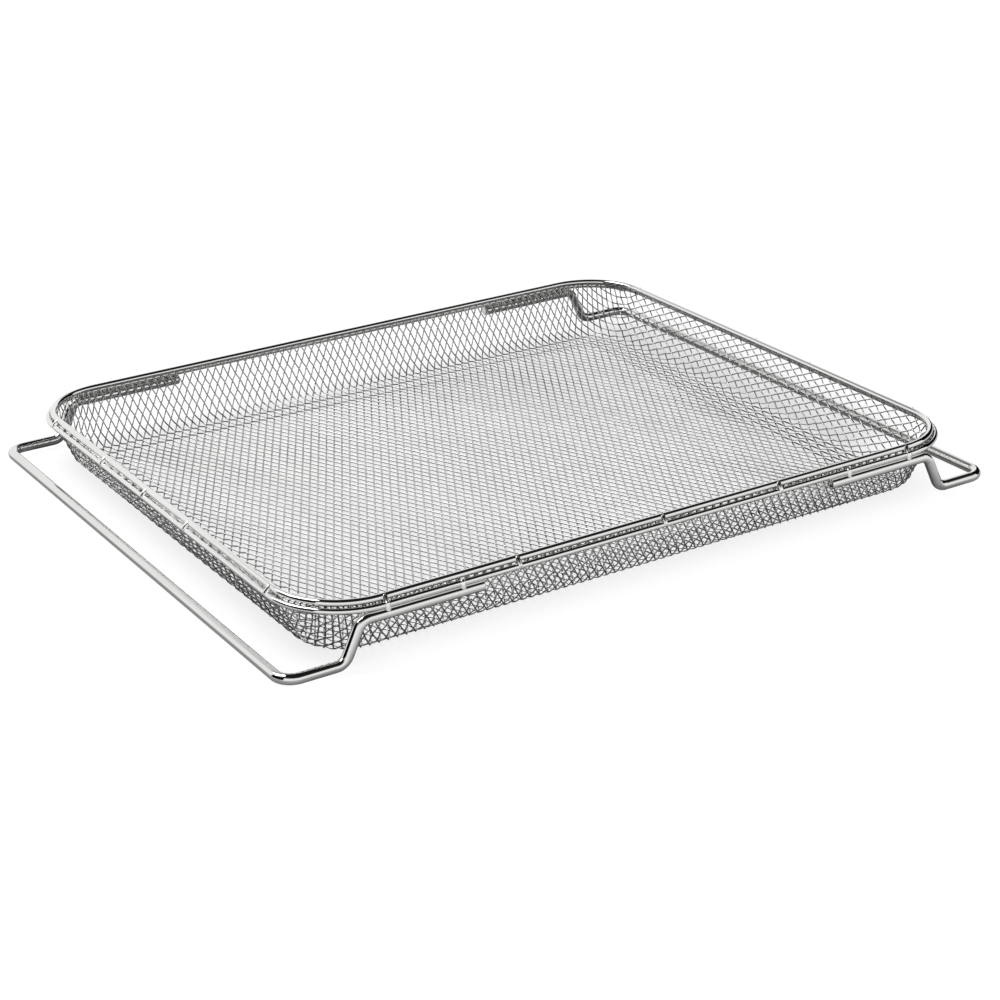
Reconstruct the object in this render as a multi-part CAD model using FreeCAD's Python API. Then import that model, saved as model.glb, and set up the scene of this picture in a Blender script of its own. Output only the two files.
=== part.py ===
import FreeCAD, Part
import math
import os

# Wire mesh basket for an air fryer oven, in millimetres.
# X runs along the long sides, towards one of the two end handles.
# Y runs across, Z points up, and Z = 0 is the underside of the mesh floor.

# Rim: two round wires, one above the other, that pinch the edge of the mesh between them
rim_length = 353.0            # centreline of the upper wire, along X
rim_width = 300.0             # centreline of the upper wire, along Y
rim_corner_radius = 33.0      # centreline of the upper wire
rim_height = 28.4             # centreline of the upper wire above the ground
upper_wire_diameter = 3.2
lower_wire_diameter = 2.8
rim_stack_angle = 48.0        # slope of the line from the upper wire out and down to the lower one

# Mesh: a tray pressed from woven wire
mesh_wire_diameter = 0.7
flange_reach = 0.9            # cut edge of the mesh that shows in the gap of the rim
wall_lean = 23.0              # lean of the walls from the vertical
floor_bend_radius = 8.0       # middle of the sheet, where a wall turns into the floor
floor_cells_along = 7         # diamonds of the weave
floor_cells_across = 3
floor_bar_width = 6.0         # mesh between two diamonds of the floor
wall_cells_along = 6          # diamonds of a long wall, and of a short one
wall_cells_across = 5
wall_bar_width = 3.5          # mesh between two diamonds of a wall
wall_cell_margin = 1.3        # plain mesh above and below the diamonds of a wall
corner_wires = 3              # wires that run down each rounded corner, with a diamond between two

# Handles: one bent rod at each end, welded under the long sides of the rim
handle_diameter = 5.0
handle_reach = 15.0           # from the upper wire's end out to the bar of the loop
loop_drop = 18.0              # from the legs under the rim down to the loop
leg_end_inset = 81.5          # from the upper wire's end back to the cut end of a leg
leg_bend_inset = 22.0         # from the upper wire's end back to the upper bend of a leg
leg_slant = 8.5               # how far a leg moves out while it drops
leg_bend_radius = 6.5
loop_corner_radius = 8.0

# Weld beads that bridge two rods
weld_diameter = 2.8
rim_weld_length = 5.4
leg_weld_length = 6.6
weld_rise = 0.7               # from the rods' nearest points out to the middle of a bead
weld_end_gap = 1.5            # from the start of a rim corner to the nearest weld
long_side_welds = (-1.0, -0.54, 0.0, 0.46, 1.0)      # shares of half the run between the end welds
short_side_welds = (-1.0, -0.31, 0.08, 0.49, 1.0)
leg_weld_inset = 10.5         # from the cut end of a leg to its inner weld

UP = FreeCAD.Vector(0, 0, 1)
ORIGIN = FreeCAD.Vector(0, 0, 0)

half_length = rim_length / 2
half_width = rim_width / 2
half_run_x = half_length - rim_corner_radius
half_run_y = half_width - rim_corner_radius
upper_radius = upper_wire_diameter / 2
lower_radius = lower_wire_diameter / 2
handle_radius = handle_diameter / 2
weld_radius = weld_diameter / 2
sheet = mesh_wire_diameter
ridge_radius = mesh_wire_diameter / 2

# Section of a side: pairs hold the distance outwards from the upper wire, and the height.
lean = math.radians(wall_lean)
stack_angle = math.radians(rim_stack_angle)
stack = upper_radius + sheet + lower_radius
upper_centre = (0.0, rim_height)
lower_centre = (stack * math.cos(stack_angle), rim_height - stack * math.sin(stack_angle))
leg_centre = (lower_centre[0], lower_centre[1] - lower_radius - handle_radius)
floor_z = ridge_radius + sheet / 2
rim_bend_radius = lower_radius + sheet / 2
wall_top = (lower_centre[0] - rim_bend_radius * math.cos(lean),
            lower_centre[1] + rim_bend_radius * math.sin(lean))
wall_foot_z = floor_z + floor_bend_radius * (1 - math.sin(lean))
wall_foot = (wall_top[0] - (wall_top[1] - wall_foot_z) * math.tan(lean), wall_foot_z)
wall_slant = (wall_top[1] - wall_foot_z) / math.cos(lean)
floor_bend = (wall_foot[0] - floor_bend_radius * math.cos(lean), floor_z + floor_bend_radius)

floor_half_x = half_length + floor_bend[0]
floor_half_y = half_width + floor_bend[0]
floor_corner_radius = rim_corner_radius + floor_bend[0]
floor_cell_x = 2 * floor_half_x / floor_cells_along
floor_cell_y = 2 * floor_half_y / floor_cells_across
wall_cell_low = wall_cell_margin
wall_cell_high = wall_slant - wall_cell_margin
wall_cell_height = wall_cell_high - wall_cell_low
wall_middle = wall_slant / 2
cut_low = -sheet              # cuts through the floor start clear below it and end clear above it
cut_high = floor_z + 2 * sheet


def on_circle(centre, radius, degrees):
    a = math.radians(degrees)
    return (centre[0] + radius * math.cos(a), centre[1] + radius * math.sin(a))


def on_wall(up, out):
    """Point of the section, up the wall's slope from its foot and out from its middle plane."""
    return (wall_foot[0] + up * math.sin(lean) + out * math.cos(lean),
            wall_foot[1] + up * math.cos(lean) - out * math.sin(lean))


def section_vector(point):
    return FreeCAD.Vector(point[0], 0, point[1])


def section_line(start, end):
    return Part.LineSegment(section_vector(start), section_vector(end)).toShape()


def section_arc(centre, radius, start, end):
    """Arc of the section from one angle to another."""
    points = [section_vector(on_circle(centre, radius, a)) for a in (start, (start + end) / 2, end)]
    return Part.Arc(*points).toShape()


def round_section(centre, radius):
    circle = Part.Circle(section_vector(centre), FreeCAD.Vector(0, 1, 0), radius)
    return Part.Face(Part.Wire([circle.toShape()]))


def mesh_section():
    """The sheet from its cut edge, round the lower wire and down the wall, to the flat floor."""
    pinch = 180 - rim_stack_angle
    leave = 180 - wall_lean
    edge_way = math.radians(pinch - 90)
    edges = []
    tips = []
    ends = []
    for shift in (-sheet / 2, sheet / 2):
        rim_radius = rim_bend_radius + shift
        foot_radius = floor_bend_radius - shift
        root = on_circle(lower_centre, rim_radius, pinch)
        tip = (root[0] + flange_reach * math.cos(edge_way), root[1] + flange_reach * math.sin(edge_way))
        foot = on_circle(floor_bend, foot_radius, -wall_lean)
        edges.append(section_line(tip, root))
        edges.append(section_arc(lower_centre, rim_radius, pinch, leave))
        edges.append(section_line(on_circle(lower_centre, rim_radius, leave), foot))
        edges.append(section_arc(floor_bend, foot_radius, -wall_lean, -90))
        tips.append(tip)
        ends.append(on_circle(floor_bend, foot_radius, -90))
    edges.append(section_line(*tips))
    edges.append(section_line(*ends))
    return Part.Face(Part.Wire(Part.sortEdges(edges)[0]))


def side_reach(turn):
    """Distance of a side from the middle, and half of its straight run."""
    return (half_length, half_run_y) if turn % 2 == 0 else (half_width, half_run_x)


def turned(shape, turn):
    """Shape made for the +X side, moved round to another side."""
    return shape.rotated(ORIGIN, UP, 90 * turn)


def corner_axis(turn):
    reach, run = side_reach(turn)
    return FreeCAD.Vector(reach - rim_corner_radius, run, 0)


def around_rim(section):
    """Carry a section once around the four straight runs and the four rounded corners."""
    pieces = []
    for turn in range(4):
        reach, run = side_reach(turn)
        near = section.translated(FreeCAD.Vector(reach, -run, 0))
        far = section.translated(FreeCAD.Vector(reach, run, 0))
        pieces.append(turned(near.extrude(FreeCAD.Vector(0, 2 * run, 0)), turn))
        pieces.append(turned(far.revolve(corner_axis(turn), UP, 90), turn))
    return pieces


def joined(pieces):
    """One solid of pieces that touch or cross."""
    return pieces[0].multiFuse(pieces[1:]).removeSplitter().Solids[0]


def floor_prism(inset, low, high):
    """Upright block over the flat floor, or over what lies inset from its edge."""
    half_x = floor_half_x - inset
    half_y = floor_half_y - inset
    block = Part.makeBox(2 * half_x, 2 * half_y, high - low, FreeCAD.Vector(-half_x, -half_y, low))
    boxes = [(edge, edge.BoundBox) for edge in block.Edges]
    uprights = [edge for edge, box in boxes if box.ZLength > box.XLength + box.YLength]
    return block.makeFillet(floor_corner_radius - inset, uprights)


def gap_scale(width, height, bar):
    """Size of a gap against its cell, when a bar of mesh is left between two gaps."""
    return 1 - bar * math.hypot(width, height) / (width * height)


def diamond(corners, depth):
    return Part.Face(Part.makePolygon(corners + corners[:1])).extrude(depth)


def floor_gaps():
    """Diamonds of the weave, and the halves that the edges of the floor cut off."""
    scale = gap_scale(floor_cell_x, floor_cell_y, floor_bar_width)
    wide = FreeCAD.Vector(scale * floor_cell_x / 2, 0, 0)
    high = FreeCAD.Vector(0, scale * floor_cell_y / 2, 0)
    centres = [(i + 0.5, j) for i in range(floor_cells_along) for j in range(floor_cells_across + 1)]
    centres += [(i, j + 0.5) for i in range(floor_cells_along + 1) for j in range(floor_cells_across)]
    gaps = []
    for i, j in centres:
        middle = FreeCAD.Vector(i * floor_cell_x - floor_half_x, j * floor_cell_y - floor_half_y, cut_low)
        corners = [middle - wide, middle - high, middle + wide, middle + high]
        gaps.append(diamond(corners, UP * (cut_high - cut_low)))
    inside = floor_prism(floor_bar_width / 2, cut_low, cut_high)
    return inside.common(Part.Compound(gaps)).Solids


def floor_ridges():
    """Half-sunk wires: one family crosses the top of the floor, the other its underside."""
    wires = []
    for side in (1, -1):
        way = FreeCAD.Vector(side * floor_cell_x, floor_cell_y, 0) * floor_cells_across
        for i in range(1 - floor_cells_across, floor_cells_along):
            x = side * (i * floor_cell_x - floor_half_x)
            start = FreeCAD.Vector(x, -floor_half_y, floor_z + side * sheet / 2)
            wires.append(Part.makeCylinder(ridge_radius, way.Length, start, way))
    inside = floor_prism(ridge_radius, cut_low, cut_high)
    return inside.common(Part.Compound(wires)).Solids


def wall_point(turn, along, up, out, angle=0):
    """Point at a wall: along its side, up its slope, and out from its middle plane.

    With an angle, it is along the plane that touches the rounded corner there, from the touching line.
    """
    s, z = on_wall(up, out)
    point = FreeCAD.Vector(side_reach(turn)[0] + s, along, z)
    if angle:
        axis = corner_axis(turn)
        arm = point + FreeCAD.Vector(0, axis.y, 0) - axis
        point = axis + FreeCAD.Rotation(UP, angle).multVec(arm)
    return FreeCAD.Rotation(UP, 90 * turn).multVec(point)


def wall_cells(turn):
    """Middles of the diamonds along a wall, and the width of one cell."""
    count = wall_cells_across if turn % 2 == 0 else wall_cells_along
    width = 2 * side_reach(turn)[1] / count
    return [(i - (count - 1) / 2) * width for i in range(count)], width


def wall_gap(turn, ring, depth, angle=0):
    """Prism through a wall, from a ring of points along it and up it."""
    corners = [wall_point(turn, along, up, -depth, angle) for along, up in ring]
    return diamond(corners, wall_point(turn, 0, 0, depth, angle) - wall_point(turn, 0, 0, -depth, angle))


def wall_diamond(x, a, b):
    """Ring of a diamond at half the height of a wall, from half its width and half its height."""
    return ((x - a, wall_middle), (x, wall_middle - b), (x + a, wall_middle), (x, wall_middle + b))


def wall_gaps():
    """A row of diamonds along each wall, and the halves between them at the rim and at the foot."""
    gaps = []
    for turn in range(4):
        middles, width = wall_cells(turn)
        scale = gap_scale(width, wall_cell_height, wall_bar_width)
        a = scale * width / 2
        b = scale * wall_cell_height / 2
        for x in middles:
            gaps.append(wall_gap(turn, wall_diamond(x, a, b), sheet))
        for x in middles[1:]:
            between = x - width / 2
            for y, tip in ((wall_cell_low, wall_cell_low + b), (wall_cell_high, wall_cell_high - b)):
                gaps.append(wall_gap(turn, ((between - a, y), (between + a, y), (between, tip)), sheet))
    return gaps


def corner_gaps():
    """Diamonds between the wires that run down a rounded corner."""
    radius = rim_corner_radius + on_wall(wall_middle, 0)[0]
    step = 90 / corner_wires
    width = radius * math.radians(step)
    scale = gap_scale(width, wall_cell_height, wall_bar_width)
    a = scale * width / 2
    ring = wall_diamond(0, a, scale * wall_cell_height / 2)
    depth = sheet + radius - math.sqrt(radius ** 2 - a ** 2)
    return [wall_gap(turn, ring, depth, step * gap) for turn in range(4) for gap in range(1, corner_wires)]


def wall_ridges():
    """Half-sunk wires between the diamonds: one family inside the wall, the other outside."""
    wires = []
    for turn in range(4):
        middles, width = wall_cells(turn)
        lows = [(middles[0] - width / 2, wall_middle)] + [(x, wall_cell_low) for x in middles]
        highs = [(x, wall_cell_high) for x in middles] + [(middles[-1] + width / 2, wall_middle)]
        for low, high in zip(lows, highs):
            for out, side in ((-sheet / 2, 1), (sheet / 2, -1)):
                foot = wall_point(turn, side * low[0], low[1], out)
                way = wall_point(turn, side * high[0], high[1], out) - foot
                wires.append(Part.makeCylinder(ridge_radius, way.Length, foot, way))
    return wires


def corner_ridges():
    """Half-sunk wires that run down the inside of each rounded corner."""
    wires = []
    for turn in range(4):
        for wire in range(corner_wires):
            angle = 90 * (wire + 0.5) / corner_wires
            foot = wall_point(turn, 0, wall_cell_low, -sheet / 2, angle)
            way = wall_point(turn, 0, wall_cell_high, -sheet / 2, angle) - foot
            wires.append(Part.makeCylinder(ridge_radius, way.Length, foot, way))
    return wires


def make_mesh_basket():
    plate = floor_prism(0, floor_z - sheet / 2, floor_z + sheet / 2)
    tray = joined(around_rim(mesh_section()) + [plate])
    open_tray = tray.cut(floor_gaps() + wall_gaps() + corner_gaps())
    return joined([open_tray] + floor_ridges() + wall_ridges() + corner_ridges())


def bent_rod(points, radii, diameter):
    """Round rod along straight runs joined by tangent arcs, one radius for each inner point."""
    edges = []
    start = points[0]
    for before, corner, after, radius in zip(points, points[1:], points[2:], radii):
        back = (before - corner).normalize()
        on = (after - corner).normalize()
        half_angle = back.getAngle(on) / 2
        tangent = radius / math.tan(half_angle)
        bisector = (back + on).normalize()
        middle = corner + bisector * (radius / math.sin(half_angle) - radius)
        edges.append(Part.LineSegment(start, corner + back * tangent).toShape())
        edges.append(Part.Arc(corner + back * tangent, middle, corner + on * tangent).toShape())
        start = corner + on * tangent
    edges.append(Part.LineSegment(start, points[-1]).toShape())
    circle = Part.Circle(points[0], points[1] - points[0], diameter / 2).toShape()
    return Part.Wire(edges).makePipeShell([Part.Wire([circle])], True, True)


def make_handle(side):
    """Both legs and the loop of one handle, bent from one rod."""
    y = half_width + leg_centre[0]
    leg_z = leg_centre[1]
    loop_z = leg_z - loop_drop
    leg_end = half_length - leg_end_inset
    upper_bend = half_length - leg_bend_inset
    lower_bend = upper_bend + leg_slant
    bar = half_length + handle_reach
    front = [(leg_end, -y, leg_z), (upper_bend, -y, leg_z), (lower_bend, -y, loop_z), (bar, -y, loop_z)]
    back = [(x, -across, z) for x, across, z in reversed(front)]
    points = [FreeCAD.Vector(side * x, across, z) for x, across, z in front + back]
    bends = [leg_bend_radius, leg_bend_radius, loop_corner_radius]
    return bent_rod(points, bends + bends[::-1], handle_diameter)


def weld_bead(centres, length):
    """Rounded bead on the outer side of two rods of a straight run, before it is seated on them."""
    (low_centre, low_radius), (high_centre, high_radius) = centres
    low = section_vector(low_centre)
    high = section_vector(high_centre)
    way = (high - low).normalize()
    outwards = FreeCAD.Vector(way.z, 0, -way.x)
    seam = low + way * ((low_radius + (high - low).Length - high_radius) / 2)
    middle = seam + outwards * weld_rise
    stem = length - weld_diameter
    start = middle - way * (stem / 2)
    rod = Part.makeCylinder(weld_radius, stem, start, way)
    tips = [Part.makeSphere(weld_radius, point) for point in (start, start + way * stem)]
    return joined([rod] + tips)


def seated_weld(centres, length):
    """Bead cut to the rods and the mesh edge that it lies on, at the middle of the +X side."""
    bead = weld_bead(centres, length)
    ends = FreeCAD.Vector(0, weld_diameter, 0)
    sections = [round_section(centre, radius) for centre, radius in centres] + [mesh_section()]
    rods = [face.translated(ends * -1).extrude(ends * 2) for face in sections]
    solids = bead.cut(rods).Solids
    return max(solids, key=lambda solid: solid.Volume)


def rim_welds():
    """Beads between the two rim wires, at both ends of each straight run and between them."""
    names = ("right", "back", "left", "front")
    bead = seated_weld([(lower_centre, lower_radius), (upper_centre, upper_radius)], rim_weld_length)
    welds = {}
    for turn, name in enumerate(names):
        reach, run = side_reach(turn)
        shares = short_side_welds if turn % 2 == 0 else long_side_welds
        mirror = 1 if turn in (0, 3) else -1
        for number, share in enumerate(shares, 1):
            place = FreeCAD.Vector(reach, mirror * share * (run - weld_end_gap), 0)
            welds[f"rim_weld_{name}_{number}"] = turned(bead.translated(place), turn)
    return welds


def leg_welds():
    """Beads that hold the legs of the handles under the lower rim wire, two to a leg."""
    bead = seated_weld([(leg_centre, handle_radius), (lower_centre, lower_radius)], leg_weld_length)
    inner = half_length - leg_end_inset + leg_weld_inset
    outer = half_run_x - weld_end_gap
    welds = {}
    for turn, side in ((3, "front"), (1, "back")):
        for end, handle in ((1, "right"), (-1, "left")):
            for name, x in (("inner", inner), ("outer", outer)):
                along = end * x if turn == 3 else -end * x
                place = FreeCAD.Vector(half_width, along, 0)
                welds[f"leg_weld_{handle}_{side}_{name}"] = turned(bead.translated(place), turn)
    return welds


def make_parts():
    parts = {
        "mesh_basket": make_mesh_basket(),
        "upper_rim_wire": joined(around_rim(round_section(upper_centre, upper_radius))),
        "lower_rim_wire": joined(around_rim(round_section(lower_centre, lower_radius))),
        "right_handle": make_handle(1),
        "left_handle": make_handle(-1),
    }
    parts.update(rim_welds())
    parts.update(leg_welds())
    return parts


os.makedirs("parts", exist_ok=True)
for name, shape in make_parts().items():
    shape.exportStep(f"parts/{name}.step")
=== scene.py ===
import math

import bpy
from mathutils import Matrix, Vector


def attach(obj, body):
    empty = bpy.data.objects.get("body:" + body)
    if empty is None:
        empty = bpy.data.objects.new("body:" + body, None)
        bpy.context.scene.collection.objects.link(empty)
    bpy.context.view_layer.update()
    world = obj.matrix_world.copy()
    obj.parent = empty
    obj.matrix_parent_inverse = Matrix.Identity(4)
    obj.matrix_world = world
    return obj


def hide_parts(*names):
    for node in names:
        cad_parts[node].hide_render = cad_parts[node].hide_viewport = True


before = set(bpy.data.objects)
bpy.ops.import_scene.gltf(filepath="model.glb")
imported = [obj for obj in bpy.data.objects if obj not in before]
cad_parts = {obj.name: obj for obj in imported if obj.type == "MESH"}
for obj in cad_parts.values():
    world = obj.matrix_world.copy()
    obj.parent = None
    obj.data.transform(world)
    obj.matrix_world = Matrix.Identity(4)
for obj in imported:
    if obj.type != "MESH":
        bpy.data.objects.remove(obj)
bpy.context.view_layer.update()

# Looks of a wire mesh basket for an air fryer oven, in metres, around its CAD model.
# X runs along the long sides, Y across, Z up, and Z = 0 is the underside of the mesh floor.

# Rim and handles, as in the part's source
rim_length = 0.353            # centreline of the upper wire, along X
rim_width = 0.300             # centreline of the upper wire, along Y
rim_corner_radius = 0.033
rim_height = 0.0284
upper_wire_diameter = 0.0032
lower_wire_diameter = 0.0028
rim_stack_angle = math.radians(48)
handle_diameter = 0.005
handle_reach = 0.015
loop_drop = 0.018
leg_end_inset = 0.0815
leg_bend_inset = 0.022
leg_slant = 0.0085
leg_bend_radius = 0.0065
loop_corner_radius = 0.008

# Mesh, as in the part's source
mesh_wire_diameter = 0.0007
flange_reach = 0.0009
wall_lean = math.radians(23)
floor_bend_radius = 0.008

# Weld beads, as in the part's source
weld_diameter = 0.0028
rim_weld_length = 0.0054
leg_weld_length = 0.0066
weld_rise = 0.0007
weld_end_gap = 0.0015
long_side_welds = (-1.0, -0.54, 0.0, 0.46, 1.0)
short_side_welds = (-1.0, -0.31, 0.08, 0.49, 1.0)
leg_weld_inset = 0.0105
weld_unevenness = 0.0006
weld_segments = 24
rod_sides = 40

# Weave of the flat sheet: from one crossing to the next, along the wires of each family
warp_step = (0.00233, 0.004275)
weft_step = (0.00208, -0.004448)
crimp = mesh_wire_diameter / 2
points_per_crossing = 4
wire_sides = 6
sheet_reach = 66              # wires and crossings on each side of the sheet's middle
wall_skew = 0.09              # how the pressed sheet drifts along the two long walls
pinch_run = 0.002             # length over which the rim presses the crimps flat

# Worked out from those
half_length = rim_length / 2
half_width = rim_width / 2
upper_radius = upper_wire_diameter / 2
lower_radius = lower_wire_diameter / 2
handle_radius = handle_diameter / 2
stack = upper_radius + mesh_wire_diameter + lower_radius
lower_out = stack * math.cos(rim_stack_angle)
lower_height = rim_height - stack * math.sin(rim_stack_angle)
leg_height = lower_height - lower_radius - handle_radius
floor_height = mesh_wire_diameter
rim_bend_radius = lower_radius + mesh_wire_diameter / 2
wall_slope = math.pi / 2 - wall_lean
rim_turn = wall_slope - (math.pi / 2 - rim_stack_angle)
wall_top = (lower_out - rim_bend_radius * math.cos(wall_lean),
            lower_height + rim_bend_radius * math.sin(wall_lean))
wall_foot_height = floor_height + floor_bend_radius * (1 - math.sin(wall_lean))
wall_length = (wall_top[1] - wall_foot_height) / math.cos(wall_lean)
wall_foot_out = wall_top[0] - wall_length * math.sin(wall_lean)
floor_inset = floor_bend_radius * math.cos(wall_lean) - wall_foot_out


class Number:
    """A number socket of a node tree, so that shader and geometry maths reads as formulas."""

    def __init__(self, nodes, socket):
        self.nodes = nodes
        self.socket = socket

    def math(self, operation, *values):
        return self.nodes.number("ShaderNodeMath", {"operation": operation}, dict(enumerate(values)))

    def __add__(self, other):
        return self.math("ADD", self, other)

    def __radd__(self, other):
        return self.math("ADD", other, self)

    def __sub__(self, other):
        return self.math("SUBTRACT", self, other)

    def __rsub__(self, other):
        return self.math("SUBTRACT", other, self)

    def __mul__(self, other):
        return self.math("MULTIPLY", self, other)

    def __rmul__(self, other):
        return self.math("MULTIPLY", other, self)

    def __truediv__(self, other):
        return self.math("DIVIDE", self, other)

    def __rtruediv__(self, other):
        return self.math("DIVIDE", other, self)

    def __neg__(self):
        return self.math("MULTIPLY", self, -1.0)

    def __abs__(self):
        return self.math("ABSOLUTE", self)

    def __lt__(self, other):
        return self.math("LESS_THAN", self, other)

    def __gt__(self, other):
        return self.math("GREATER_THAN", self, other)

    def least(self, other):
        return self.math("MINIMUM", self, other)

    def most(self, other):
        return self.math("MAXIMUM", self, other)

    def within(self, low, high):
        return self.most(low).least(high)

    def sine(self):
        return self.math("SINE", self)

    def cosine(self):
        return self.math("COSINE", self)

    def root(self):
        return self.math("SQRT", self)

    def sign(self):
        return self.math("SIGN", self)


class Nodes:
    """Adds nodes to a tree."""

    def __init__(self, tree):
        self.tree = tree

    def add(self, kind, settings=None, values=None):
        """A node: its settings are set first, then the values or links of its sockets."""
        node = self.tree.nodes.new(kind)
        for name, value in (settings or {}).items():
            setattr(node, name, value)
        for name, value in (values or {}).items():
            if isinstance(value, Number):
                value = value.socket
            if isinstance(value, bpy.types.NodeSocket):
                self.tree.links.new(value, node.inputs[name])
            else:
                node.inputs[name].default_value = value
        return node

    def number(self, kind, settings=None, values=None, output=0):
        return Number(self, self.add(kind, settings, values).outputs[output])

    def ramp(self, factor, stops):
        """A colour ramp, from pairs of a place and a colour."""
        node = self.add("ShaderNodeValToRGB", None, {0: factor})
        elements = node.color_ramp.elements
        while len(elements) < len(stops):
            elements.new(1.0)
        for element, (place, colour) in zip(elements, stops):
            element.position = place
            element.color = (*colour, 1)
        return node.outputs[0]

    def parts(self, vector):
        """The X, Y and Z of a vector socket."""
        node = self.add("ShaderNodeSeparateXYZ", None, {0: vector})
        return [Number(self, socket) for socket in node.outputs]

    def vector(self, x, y, z):
        return self.add("ShaderNodeCombineXYZ", None, {0: x, 1: y, 2: z}).outputs[0]


def geometry_tree(name, inputs):
    """A new geometry tree with named inputs, its nodes, and its input sockets by name."""
    tree = bpy.data.node_groups.new(name, "GeometryNodeTree")
    tree.interface.new_socket("Geometry", in_out="OUTPUT", socket_type="NodeSocketGeometry")
    for label, kind in inputs.items():
        tree.interface.new_socket(label, in_out="INPUT", socket_type="NodeSocket" + kind)
    nodes = Nodes(tree)
    given = nodes.add("NodeGroupInput").outputs
    sockets = {}
    for label, kind in inputs.items():
        sockets[label] = Number(nodes, given[label]) if kind in ("Float", "Int") else given[label]
    return tree, nodes, sockets


def end_tree(nodes, geometry, material):
    """Smooth shading, then real geometry with its material."""
    smooth = nodes.add("GeometryNodeSetShadeSmooth", None, {"Geometry": geometry})
    real = nodes.add("GeometryNodeRealizeInstances", None, {"Geometry": smooth.outputs[0]})
    dressed = nodes.add("GeometryNodeSetMaterial", None,
                        {"Geometry": real.outputs[0], "Material": material})
    nodes.add("NodeGroupOutput", None, {0: dressed.outputs[0]})


def grown(name, tree, values, start):
    """Plain mesh object that a geometry tree grows from a start mesh or curve."""
    carrier = bpy.data.objects.new(name + "_start", start)
    bpy.context.scene.collection.objects.link(carrier)
    modifier = carrier.modifiers.new("grow", "NODES")
    modifier.node_group = tree
    for item in tree.interface.items_tree:
        if item.in_out == "INPUT" and item.name in values:
            modifier[item.identifier] = values[item.name]
    view = bpy.context.evaluated_depsgraph_get()
    mesh = bpy.data.meshes.new_from_object(carrier.evaluated_get(view))
    mesh.name = name
    bpy.data.objects.remove(carrier)
    piece = bpy.data.objects.new(name, mesh)
    bpy.context.scene.collection.objects.link(piece)
    return piece


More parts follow.
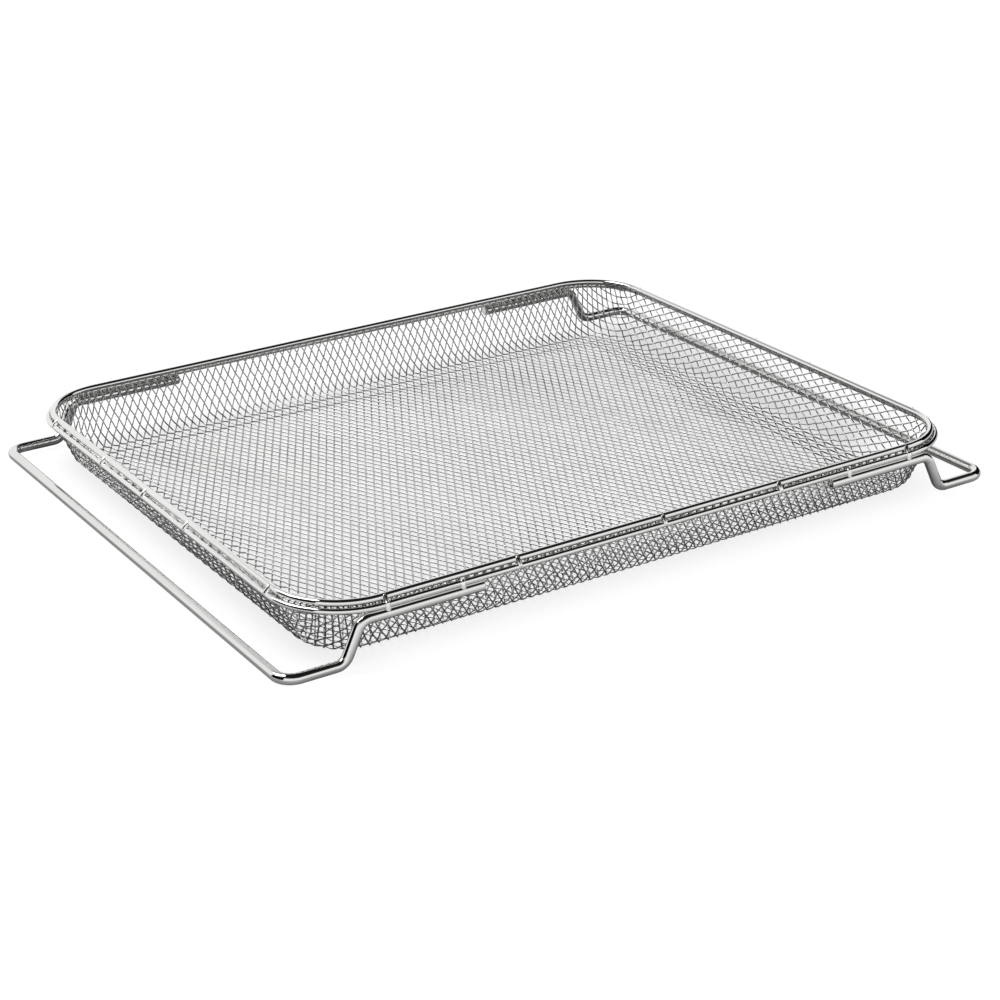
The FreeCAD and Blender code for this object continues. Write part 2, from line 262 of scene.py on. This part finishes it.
def woven_wire_tree():
    """Wires of one family of the weave, laid on the flat sheet and pressed to the tray.

    On the sheet, a point is a wire's number and a place along it, counted in crossings.
    """
    tree, nodes, given = geometry_tree("Woven wires", {
        "First wire": "Int", "Wires": "Int", "Reach": "Int", "Points per crossing": "Int",
        "Next wire": "Vector", "Next crossing": "Vector", "Crimp": "Float",
        "Wire diameter": "Float", "Wire sides": "Int",
        "Floor half length": "Float", "Floor half width": "Float", "Floor corner radius": "Float",
        "Floor height": "Float", "Floor bend radius": "Float", "Wall slope": "Float",
        "Wall length": "Float", "Wall skew": "Float", "Rim bend radius": "Float",
        "Rim turn": "Float", "Flange reach": "Float", "Pinch run": "Float", "Material": "Material"})
    corner = given["Floor corner radius"]
    bend = given["Floor bend radius"]
    slope = given["Wall slope"]
    rim_bend = given["Rim bend radius"]
    turn = given["Rim turn"]
    reach = given["Reach"]
    fineness = given["Points per crossing"]
    wall_start = bend * slope
    wall_end = wall_start + given["Wall length"]
    tip_start = wall_end + rim_bend * turn
    edge = tip_start + given["Flange reach"]
    next_wire = nodes.parts(given["Next wire"])
    next_crossing = nodes.parts(given["Next crossing"])

    line = nodes.add("GeometryNodeCurvePrimitiveLine", None,
                     {"Start": nodes.vector(0.0, -reach, 0.0), "End": nodes.vector(0.0, reach, 0.0)})
    wire = nodes.add("GeometryNodeResampleCurve", None,
                     {"Curve": line.outputs[0], "Count": 2 * reach * fineness + 1})
    row = nodes.add("GeometryNodeMeshLine", None,
                    {"Count": given["Wires"], "Start Location": nodes.vector(given["First wire"], 0.0, 0.0),
                     "Offset": (1, 0, 0)})
    wires = nodes.add("GeometryNodeInstanceOnPoints", None,
                      {"Points": row.outputs[0], "Instance": wire.outputs[0]})
    lattice = nodes.add("GeometryNodeRealizeInstances", None, {"Geometry": wires.outputs[0]})
    number, place, _ = nodes.parts(nodes.add("GeometryNodeInputPosition").outputs[0])

    def on_sheet(place):
        """Flat X and Y, how far outside the flat floor, and the way out from its edge."""
        x = number * next_wire[0] + place * next_crossing[0]
        y = number * next_wire[1] + place * next_crossing[1]
        x = x + (abs(y) - given["Floor half width"]).most(0.0) * y.sign() * given["Wall skew"]
        past_x = (abs(x) - given["Floor half length"] + corner).most(0.0)
        past_y = (abs(y) - given["Floor half width"] + corner).most(0.0)
        past = (past_x * past_x + past_y * past_y).root()
        return x, y, past - corner, past_x / past * x.sign(), past_y / past * y.sign()

    x, y, distance, out_x, out_y = on_sheet(place)
    excess = (distance - edge).most(0.0)
    rate = next_crossing[0] * out_x + next_crossing[1] * out_y
    x, y, distance, out_x, out_y = on_sheet(place - excess / rate)
    distance = distance.most(0.0)

    bent = (distance / bend).least(slope)
    up = (distance - wall_start).within(0.0, given["Wall length"])
    wrapped = ((distance - wall_end) / rim_bend).within(0.0, turn)
    tip = (distance - tip_start).within(0.0, given["Flange reach"])
    heading = bent - wrapped
    flange = slope - turn
    out = (bend * bent.sine() + up * slope.cosine()
           + rim_bend * (slope.sine() - (slope - wrapped).sine()) + tip * flange.cosine())
    height = (bend * (1.0 - bent.cosine()) + up * slope.sine()
              + rim_bend * ((slope - wrapped).cosine() - slope.cosine()) + tip * flange.sine())
    loose = ((wall_end - distance) / given["Pinch run"]).within(0.0, 1.0)
    wave = (place * math.pi).cosine() * (number * math.pi).cosine() * given["Crimp"] * loose
    side = out - distance - heading.sine() * wave
    pressed = nodes.vector(x + out_x * side, y + out_y * side,
                           given["Floor height"] + height + heading.cosine() * wave)

    captured = nodes.add("GeometryNodeCaptureAttribute", {"domain": "POINT"},
                         {"Geometry": lattice.outputs[0]})
    captured.capture_items.new("VECTOR", "pressed")
    nodes.tree.links.new(pressed, captured.inputs[1])
    captured.capture_items.new("FLOAT", "beyond")
    nodes.tree.links.new((excess - abs(rate) / fineness).socket, captured.inputs[2])
    cut = nodes.add("GeometryNodeDeleteGeometry", {"domain": "POINT"},
                    {"Geometry": captured.outputs[0],
                     "Selection": Number(nodes, captured.outputs[2]) > -1e-7})
    placed = nodes.add("GeometryNodeSetPosition", None,
                       {"Geometry": cut.outputs[0], "Position": captured.outputs[1]})
    ring = nodes.add("GeometryNodeCurvePrimitiveCircle", None,
                     {"Resolution": given["Wire sides"], "Radius": given["Wire diameter"] / 2.0})
    swept = nodes.add("GeometryNodeCurveToMesh", None,
                      {"Curve": placed.outputs[0], "Profile Curve": ring.outputs[0], "Fill Caps": True})
    end_tree(nodes, swept.outputs[0], given["Material"])
    return tree


def rod_tree():
    """Round wire or rod along a drawn line, with its ends rounded and its own grain."""
    tree, nodes, given = geometry_tree("Bent rod", {
        "Geometry": "Geometry", "Diameter": "Float", "Sides": "Int", "Material": "Material"})
    path = nodes.add("GeometryNodeCaptureAttribute", {"domain": "POINT"}, {"Geometry": given["Geometry"]})
    path.capture_items.new("FLOAT", "along")
    nodes.tree.links.new(nodes.add("GeometryNodeSplineParameter").outputs["Length"], path.inputs[1])
    ring = nodes.add("GeometryNodeCurvePrimitiveCircle", None,
                     {"Resolution": given["Sides"], "Radius": given["Diameter"] / 2.0})
    profile = nodes.add("GeometryNodeCaptureAttribute", {"domain": "POINT"}, {"Geometry": ring.outputs[0]})
    profile.capture_items.new("VECTOR", "around")
    nodes.tree.links.new(nodes.add("GeometryNodeInputPosition").outputs[0], profile.inputs[1])
    swept = nodes.add("GeometryNodeCurveToMesh", None,
                      {"Curve": path.outputs[0], "Profile Curve": profile.outputs[0],
                       "Scale": nodes.add("GeometryNodeInputRadius").outputs[0], "Fill Caps": True})
    around_x, around_y, _ = nodes.parts(profile.outputs[1])
    grained = nodes.add("GeometryNodeStoreNamedAttribute", {"data_type": "FLOAT_VECTOR", "domain": "POINT"},
                        {"Geometry": swept.outputs[0], "Name": "grain",
                         "Value": nodes.vector(around_x, around_y, Number(nodes, path.outputs[1]))})
    end_tree(nodes, grained.outputs[0], given["Material"])
    return tree


def bead_tree():
    """Weld beads at the points of a mesh, each turned along its own directions and left uneven."""
    tree, nodes, given = geometry_tree("Weld beads", {
        "Geometry": "Geometry", "Length": "Float", "Diameter": "Float", "Unevenness": "Float",
        "Segments": "Int", "Material": "Material"})
    ball = nodes.add("GeometryNodeMeshUVSphere", None,
                     {"Segments": given["Segments"], "Rings": given["Segments"] / 2.0, "Radius": 1.0})
    x, y, z = nodes.parts(nodes.add("GeometryNodeInputPosition").outputs[0])
    radius = given["Diameter"] / 2.0
    stem = given["Length"] / 2.0 - radius
    capsule = nodes.vector(x * radius, y * radius, z * radius + (z * 4.0).within(-1.0, 1.0) * stem)
    bead = nodes.add("GeometryNodeSetPosition", None, {"Geometry": ball.outputs[0], "Position": capsule})
    along = nodes.add("GeometryNodeInputNamedAttribute", {"data_type": "FLOAT_VECTOR"},
                      {"Name": "bead_along"}).outputs[0]
    outwards = nodes.add("GeometryNodeInputNamedAttribute", {"data_type": "FLOAT_VECTOR"},
                         {"Name": "bead_out"}).outputs[0]
    stood = nodes.add("FunctionNodeAlignRotationToVector", {"axis": "Z"}, {"Vector": along})
    turned = nodes.add("FunctionNodeAlignRotationToVector", {"axis": "X", "pivot_axis": "Z"},
                       {"Rotation": stood.outputs[0], "Vector": outwards})
    beads = nodes.add("GeometryNodeInstanceOnPoints", None,
                      {"Points": given["Geometry"], "Instance": bead.outputs[0],
                       "Rotation": turned.outputs[0]})
    real = nodes.add("GeometryNodeRealizeInstances", None, {"Geometry": beads.outputs[0]})
    noise = nodes.number("ShaderNodeTexNoise", {"noise_dimensions": "3D"},
                         {"Scale": 700.0, "Detail": 2.0})
    normal = nodes.add("GeometryNodeInputNormal").outputs[0]
    push = nodes.add("ShaderNodeVectorMath", {"operation": "SCALE"},
                     {0: normal, "Scale": (noise - 0.5) * given["Unevenness"]})
    uneven = nodes.add("GeometryNodeSetPosition", None,
                       {"Geometry": real.outputs[0], "Offset": push.outputs[0]})
    end_tree(nodes, uneven.outputs[0], given["Material"])
    return tree


def steel(name, colour, darker, roughness, grain, relief, coordinates, metallic=1.0):
    """Stainless steel whose tone, polish and skin vary a little.

    coordinates turns the material's nodes into the vector of the pattern: along the wire, or in space.
    """
    material = bpy.data.materials.new(name)
    material.use_nodes = True
    nodes = Nodes(material.node_tree)
    shader = material.node_tree.nodes["Principled BSDF"]
    shader.inputs["Metallic"].default_value = metallic
    vector = coordinates(nodes)
    fine = nodes.number("ShaderNodeTexNoise", None,
                        {"Vector": vector, "Scale": grain, "Detail": 4.0, "Roughness": 0.6})
    broad = nodes.number("ShaderNodeTexNoise", None,
                         {"Vector": vector, "Scale": grain / 9, "Detail": 2.0})
    tone = nodes.ramp(broad * 0.6 + fine * 0.4, [(0.3, darker), (0.62, colour)])
    material.node_tree.links.new(tone, shader.inputs["Base Color"])
    polish = (roughness * (0.7 + fine * 0.6)).socket
    material.node_tree.links.new(polish, shader.inputs["Roughness"])
    bump = nodes.add("ShaderNodeBump", None,
                     {"Strength": 1.0, "Distance": relief, "Height": fine * 0.5 + broad * 1.0})
    material.node_tree.links.new(bump.outputs[0], shader.inputs["Normal"])
    return material


def along_wire(nodes):
    """The wire's own grain: drawn out along it, seamless around it."""
    grain = nodes.add("ShaderNodeAttribute", {"attribute_type": "GEOMETRY", "attribute_name": "grain"})
    return nodes.add("ShaderNodeMapping", None,
                     {"Vector": grain.outputs["Vector"], "Scale": (1.0, 1.0, 0.03)}).outputs[0]


def in_space(nodes):
    return nodes.add("ShaderNodeTexCoord").outputs["Object"]


def rounded_line(corners, radii, closed):
    """Points along straight runs joined by arcs, one radius for each corner."""
    count = len(corners)
    points = []
    for i, (corner, radius) in enumerate(zip(corners, radii)):
        if not closed and i in (0, count - 1):
            points.append(corner)
            continue
        back = (corners[i - 1] - corner).normalized()
        on = (corners[(i + 1) % count] - corner).normalized()
        half_angle = back.angle(on) / 2
        bisector = (back + on).normalized()
        centre = corner + bisector * (radius / math.sin(half_angle))
        first = corner + back * (radius / math.tan(half_angle)) - centre
        axis = first.cross(back * -1).normalized()
        sweep = math.pi - 2 * half_angle
        steps = max(6, round(sweep / bend_step))
        for step in range(steps + 1):
            turn = Matrix.Rotation(sweep * step / steps, 3, axis)
            points.append(centre + turn @ first)
    return points


bend_step = math.radians(4)
end_rounding = 0.0006         # how far the cut end of a rod is rounded


def drawn_line(name, points, closed):
    """Curve through points, whose radius tapers at open ends where the rod's end is rounded."""
    radii = [1.0] * len(points)
    if not closed:
        steps = 5
        start, second = points[0], points[1]
        last, before = points[-1], points[-2]
        head = [start + (second - start).normalized() * (end_rounding * (1 - math.cos(a)))
                for a in (math.pi / 2 * s / steps for s in range(steps + 1))]
        tail = [last + (before - last).normalized() * (end_rounding * (1 - math.cos(a)))
                for a in (math.pi / 2 * s / steps for s in range(steps + 1))]
        share = [1 - end_rounding * (1 - math.sin(math.pi / 2 * s / steps)) / (handle_radius)
                 for s in range(steps + 1)]
        points = head + points[1:-1] + tail[::-1]
        radii = share + [1.0] * (len(points) - 2 * len(share)) + share[::-1]
    curve = bpy.data.curves.new(name, "CURVE")
    curve.dimensions = "3D"
    spline = curve.splines.new("POLY")
    spline.points.add(len(points) - 1)
    for target, point, radius in zip(spline.points, points, radii):
        target.co = (*point, 1)
        target.radius = radius
    spline.use_cyclic_u = closed
    return curve


def rim_line(name, out, height):
    x = half_length + out
    y = half_width + out
    corners = [Vector((i * x, j * y, height)) for i, j in ((1, -1), (1, 1), (-1, 1), (-1, -1))]
    return drawn_line(name, rounded_line(corners, [rim_corner_radius + out] * 4, True), True)


def handle_line(name, side):
    y = half_width + lower_out
    loop_height = leg_height - loop_drop
    upper_bend = half_length - leg_bend_inset
    front = [(half_length - leg_end_inset, -y, leg_height), (upper_bend, -y, leg_height),
             (upper_bend + leg_slant, -y, loop_height), (half_length + handle_reach, -y, loop_height)]
    back = [(x, -across, z) for x, across, z in reversed(front)]
    corners = [Vector((side * x, across, z)) for x, across, z in front + back]
    radii = [0, leg_bend_radius, leg_bend_radius, loop_corner_radius]
    return drawn_line(name, rounded_line(corners, radii + radii[::-1], False), False)


def bead_seats(name, places, low, high):
    """Points for weld beads: places hold a quarter turn and a distance along that side.

    low and high are the two rods that a bead bridges: distance outwards, height and radius.
    """
    way = Vector((high[0] - low[0], 0, high[1] - low[1]))
    gap_middle = (low[2] + way.length - high[2]) / 2
    way.normalize()
    outwards = Vector((way.z, 0, -way.x))
    seam = Vector((low[0], 0, low[1])) + way * gap_middle + outwards * weld_rise
    mesh = bpy.data.meshes.new(name)
    turns = [Matrix.Rotation(math.pi / 2 * turn, 3, "Z") for turn, _ in places]
    reach = [half_length if turn % 2 == 0 else half_width for turn, _ in places]
    seats = [spin @ (seam + Vector((out, along, 0)))
             for spin, out, (_, along) in zip(turns, reach, places)]
    mesh.from_pydata(seats, [], [])
    for label, direction in (("bead_along", way), ("bead_out", outwards)):
        values = mesh.attributes.new(label, "FLOAT_VECTOR", "POINT")
        for item, spin in zip(values.data, turns):
            item.vector = spin @ direction
    return mesh


def rim_weld_places():
    names = ("right", "back", "left", "front")
    places = {}
    for turn, name in enumerate(names):
        shares = short_side_welds if turn % 2 == 0 else long_side_welds
        run = (half_width if turn % 2 == 0 else half_length) - rim_corner_radius - weld_end_gap
        mirror = 1 if turn in (0, 3) else -1
        for number, share in enumerate(shares, 1):
            places[f"rim_weld_{name}_{number}"] = (turn, mirror * share * run)
    return places


def leg_weld_places():
    inner = half_length - leg_end_inset + leg_weld_inset
    outer = half_length - rim_corner_radius - weld_end_gap
    places = {}
    for turn, side, mirror in ((3, "front", 1), (1, "back", -1)):
        for end, handle in ((1, "right"), (-1, "left")):
            places[f"leg_weld_{handle}_{side}_inner"] = (turn, mirror * end * inner)
            places[f"leg_weld_{handle}_{side}_outer"] = (turn, mirror * end * outer)
    return places


# Finishes
woven_steel = steel("woven_steel", (0.62, 0.62, 0.615), (0.48, 0.48, 0.475), 0.10, 900.0, 0.00001, in_space)
polished_wire = steel("polished_wire", (0.84, 0.84, 0.83), (0.74, 0.74, 0.73), 0.05, 900.0, 0.000002,
                      along_wire)
polished_rod = steel("polished_rod", (0.82, 0.82, 0.81), (0.70, 0.70, 0.69), 0.06, 700.0, 0.000003,
                     along_wire)
weld_steel = steel("weld_steel", (0.96, 0.96, 0.95), (0.86, 0.85, 0.84), 0.22, 1100.0, 0.00003, in_space)

# Woven mesh: each family of wires in two halves
weave = woven_wire_tree()
families = {"warp": (weft_step, warp_step, crimp), "weft": (warp_step, weft_step, -crimp)}
for family, (across, along, height) in families.items():
    for half, first in (("left", -sheet_reach), ("right", 0)):
        piece = grown(f"mesh_{family}_{half}", weave, {
            "First wire": first, "Wires": sheet_reach, "Reach": sheet_reach,
            "Points per crossing": points_per_crossing,
            "Next wire": (*across, 0.0), "Next crossing": (*along, 0.0), "Crimp": height,
            "Wire diameter": mesh_wire_diameter, "Wire sides": wire_sides,
            "Floor half length": half_length - floor_inset, "Floor half width": half_width - floor_inset,
            "Floor corner radius": rim_corner_radius - floor_inset, "Floor height": floor_height,
            "Floor bend radius": floor_bend_radius, "Wall slope": wall_slope,
            "Wall length": wall_length, "Wall skew": wall_skew, "Rim bend radius": rim_bend_radius,
            "Rim turn": rim_turn, "Flange reach": flange_reach, "Pinch run": pinch_run,
            "Material": woven_steel}, bpy.data.meshes.new("empty"))
        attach(piece, "root")
        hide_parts("mesh_basket")
        print(piece.name, len(piece.data.polygons), "faces")

# Rim wires and handles
bent_rod = rod_tree()
rods = (
    ("rim_upper", "upper_rim_wire", rim_line("upper", 0.0, rim_height), upper_wire_diameter,
     polished_wire, "polished_wire"),
    ("rim_lower", "lower_rim_wire", rim_line("lower", lower_out, lower_height), lower_wire_diameter,
     polished_wire, "polished_wire"),
    ("handle_right", "right_handle", handle_line("right", 1), handle_diameter,
     polished_rod, "polished_rod"),
    ("handle_left", "left_handle", handle_line("left", -1), handle_diameter,
     polished_rod, "polished_rod"),
)
for name, node, line, diameter, finish, slot in rods:
    piece = grown(name, bent_rod, {"Diameter": diameter, "Sides": rod_sides, "Material": finish}, line)
    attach(piece, "root")
    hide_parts(node)

# Weld beads
weld_bead = bead_tree()
upper_rod = (0.0, rim_height, upper_radius)
lower_rod = (lower_out, lower_height, lower_radius)
leg_rod = (lower_out, leg_height, handle_radius)
for name, places, low, high, length in (
        ("rim_beads", rim_weld_places(), lower_rod, upper_rod, rim_weld_length),
        ("leg_beads", leg_weld_places(), leg_rod, lower_rod, leg_weld_length)):
    piece = grown(name, weld_bead, {"Length": length, "Diameter": weld_diameter, "Unevenness": weld_unevenness,
                                    "Segments": weld_segments, "Material": weld_steel},
                  bead_seats(name, list(places.values()), low, high))
    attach(piece, "root")
    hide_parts(*places)

# Studio: a white floor and surround, with painted shade on the floor under the basket and next to its right
# wall, and the floor as seen in metal painted dark near the basket; dark boards on both sides, a dark card
# overhead and a soft box under it. The card fades to white at its edge, so polished metal shows light sides
# and a dark line along its top.
floor_size = 8.0
floor_tone = 0.2
shade_fade = 0.04
white_lift = 0.95             # light added to the floor as seen by the camera, away from the basket
shade_lift = 0.76             # and under the basket, less, so the floor shows a painted shadow there
side_shade = 0.20             # painted shade: light taken away again next to its right wall, where the photo's cells are grey
side_shade_start = 0.160
side_shade_middle = (0.047, 0.055)
side_shade_fade = 0.012
side_shade_edge = 0.03        # softer towards the rim
side_shade_back = 0.165       # gone behind this
metal_lift = 0.90             # light added to the floor as seen in metal, far from the basket; near it none, so metal shows a painted shadow on the floor there
metal_lift_near = 0.0
metal_fade = (0.08, 0.03)      # along X and Y
card_middle = (0.30, -0.47)
card_height = 2.0
card_radius = 3.6
card_dark_radius = 1.9
card_tone = 0.01
card_sides = 96
board_radius = 2.2            # dark boards stand on the left and on the right, up to the card
board_turns = {"dark_board_left": (245, 305), "dark_board_right": (56, 110)}      # clockwise from the back
box_way = (-0.42, 0.36, 0.83)
box_distance = 1.55
box_side = 0.9
box_watts = 11.0


def stage_piece(name, points, faces, tone):
    """A matt part of the studio, the nodes of its material and its shader."""
    mesh = bpy.data.meshes.new(name)
    mesh.from_pydata(points, [], faces)
    piece = bpy.data.objects.new(name, mesh)
    bpy.context.scene.collection.objects.link(piece)
    material = bpy.data.materials.new(name)
    material.use_nodes = True
    mesh.materials.append(material)
    shader = material.node_tree.nodes["Principled BSDF"]
    for socket, value in (("Base Color", (tone, tone, tone, 1)), ("Roughness", 1.0),
                          ("Specular IOR Level", 0.0), ("Emission Color", (0, 0, 0, 1)),
                          ("Emission Strength", 1.0)):
        shader.inputs[socket].default_value = value
    return Nodes(material.node_tree), shader


def floor_distance(nodes, middle):
    """How far a point of the floor is from the basket's outline, moved to this middle."""
    x, y, _ = nodes.parts(nodes.add("ShaderNodeTexCoord").outputs["Object"])
    past_x = (abs(x - middle[0]) - half_length + rim_corner_radius).most(0.0)
    past_y = (abs(y - middle[1]) - half_width + rim_corner_radius).most(0.0)
    return (past_x * past_x + past_y * past_y).root() - rim_corner_radius


def softened(share):
    """A share from 0 to 1 with a soft start and a soft end."""
    share = share.within(0.0, 1.0)
    return share * share * (3.0 - 2.0 * share)


half = floor_size / 2
nodes, shader = stage_piece("studio_floor", [(-half, -half, 0), (half, -half, 0), (half, half, 0),
                                             (-half, half, 0)], [(0, 1, 2, 3)], floor_tone)
rays = nodes.add("ShaderNodeLightPath").outputs
seen = Number(nodes, rays["Is Camera Ray"])
mirrored = (Number(nodes, rays["Is Glossy Ray"]) + Number(nodes, rays["Is Transmission Ray"])).least(1.0)
x, y, _ = nodes.parts(nodes.add("ShaderNodeTexCoord").outputs["Object"])
outside = floor_distance(nodes, (0.0, 0.0))
# Painted shadow under the basket for the camera: clear runs from 0 under the basket to 1 past its outline
clear = softened(outside / shade_fade + 0.5)
# Painted shade on the floor next to the basket's right wall
painted_side_shade = (softened((x - side_shade_start) / side_shade_fade)
          * softened(floor_distance(nodes, side_shade_middle) / -side_shade_edge)
          * softened((side_shade_back - y) / shade_fade))
# Painted shadow seen in metal: the floor's added light rises from metal_lift_near at the basket to metal_lift
# away from it
far = ((abs(x) - half_length).most(0.0) / metal_fade[0]
       + (abs(y) - half_width).most(0.0) / metal_fade[1])
glow = (seen * (shade_lift + clear * (white_lift - shade_lift) - painted_side_shade * side_shade)
        + mirrored * (metal_lift_near + far / (far + 1.0) * (metal_lift - metal_lift_near)))
nodes.tree.links.new(nodes.vector(glow, glow, glow), shader.inputs["Emission Color"])

turns = [2 * math.pi * i / card_sides for i in range(card_sides)]
card_rim = [(card_middle[0] + card_radius * math.cos(a),
             card_middle[1] + card_radius * math.sin(a), card_height) for a in turns]
nodes, shader = stage_piece("dark_card", card_rim, [tuple(range(card_sides))], card_tone)
x, y, _ = nodes.parts(nodes.add("ShaderNodeTexCoord").outputs["Object"])
x = x - card_middle[0]
y = y - card_middle[1]
glow = (((x * x + y * y).root() - card_dark_radius) / (card_radius - card_dark_radius)).within(card_tone, 1.0)
nodes.tree.links.new(nodes.vector(glow, glow, glow), shader.inputs["Emission Color"])
hidden = Number(nodes, nodes.add("ShaderNodeLightPath").outputs["Is Camera Ray"])
nodes.tree.links.new((1.0 - hidden).socket, shader.inputs["Alpha"])

for name, (start, end) in board_turns.items():
    board_points = []
    for step in range(card_sides + 1):
        angle = math.radians(start + (end - start) * step / card_sides)
        for height in (0.0, card_height):
            board_points.append((board_radius * math.sin(angle), board_radius * math.cos(angle), height))
    board_faces = [(2 * i, 2 * i + 2, 2 * i + 3, 2 * i + 1) for i in range(card_sides)]
    nodes, shader = stage_piece(name, board_points, board_faces, card_tone)
    hidden = Number(nodes, nodes.add("ShaderNodeLightPath").outputs["Is Camera Ray"])
    nodes.tree.links.new((1.0 - hidden).socket, shader.inputs["Alpha"])

world = bpy.data.worlds.new("studio")
bpy.context.scene.world = world
world.use_nodes = True
world.node_tree.nodes.clear()
nodes = Nodes(world.node_tree)
sky = nodes.add("ShaderNodeBackground", None, {"Color": (1, 1, 1, 1), "Strength": 1.0})
nodes.add("ShaderNodeOutputWorld", None, {0: sky.outputs[0]})

light = bpy.data.lights.new("soft_box", "AREA")
light.shape = "SQUARE"
light.size = box_side
light.energy = box_watts
soft_box = bpy.data.objects.new("soft_box", light)
soft_box.location = Vector(box_way).normalized() * box_distance
soft_box.rotation_euler = Vector(box_way).to_track_quat("Z", "Y").to_euler()
bpy.context.scene.collection.objects.link(soft_box)

# Camera, fitted to the photograph
azimuth = math.radians(-31.782)
elevation = math.radians(23.513)
roll = math.radians(-1.253)
distance = 1.045433
focal_length = 2304.765       # in pixels
picture_width = 1000
target = Vector((-0.049012, -0.093175, rim_height))
back = Vector((math.sin(azimuth) * math.cos(elevation), -math.cos(azimuth) * math.cos(elevation),
               math.sin(elevation)))
level = Vector((math.cos(azimuth), math.sin(azimuth), 0))
above = back.cross(level)
right = level * math.cos(roll) + above * math.sin(roll)
up = above * math.cos(roll) - level * math.sin(roll)
eye = bpy.data.cameras.new("camera")
eye.sensor_width = 36.0
eye.lens = focal_length / picture_width * eye.sensor_width
camera = bpy.data.objects.new("camera", eye)
facing = Matrix((right, up, back)).transposed().to_4x4()
camera.matrix_world = Matrix.Translation(target + back * distance) @ facing
bpy.context.scene.collection.objects.link(camera)
bpy.context.scene.camera = camera
bpy.context.scene.view_settings.view_transform = "Standard"
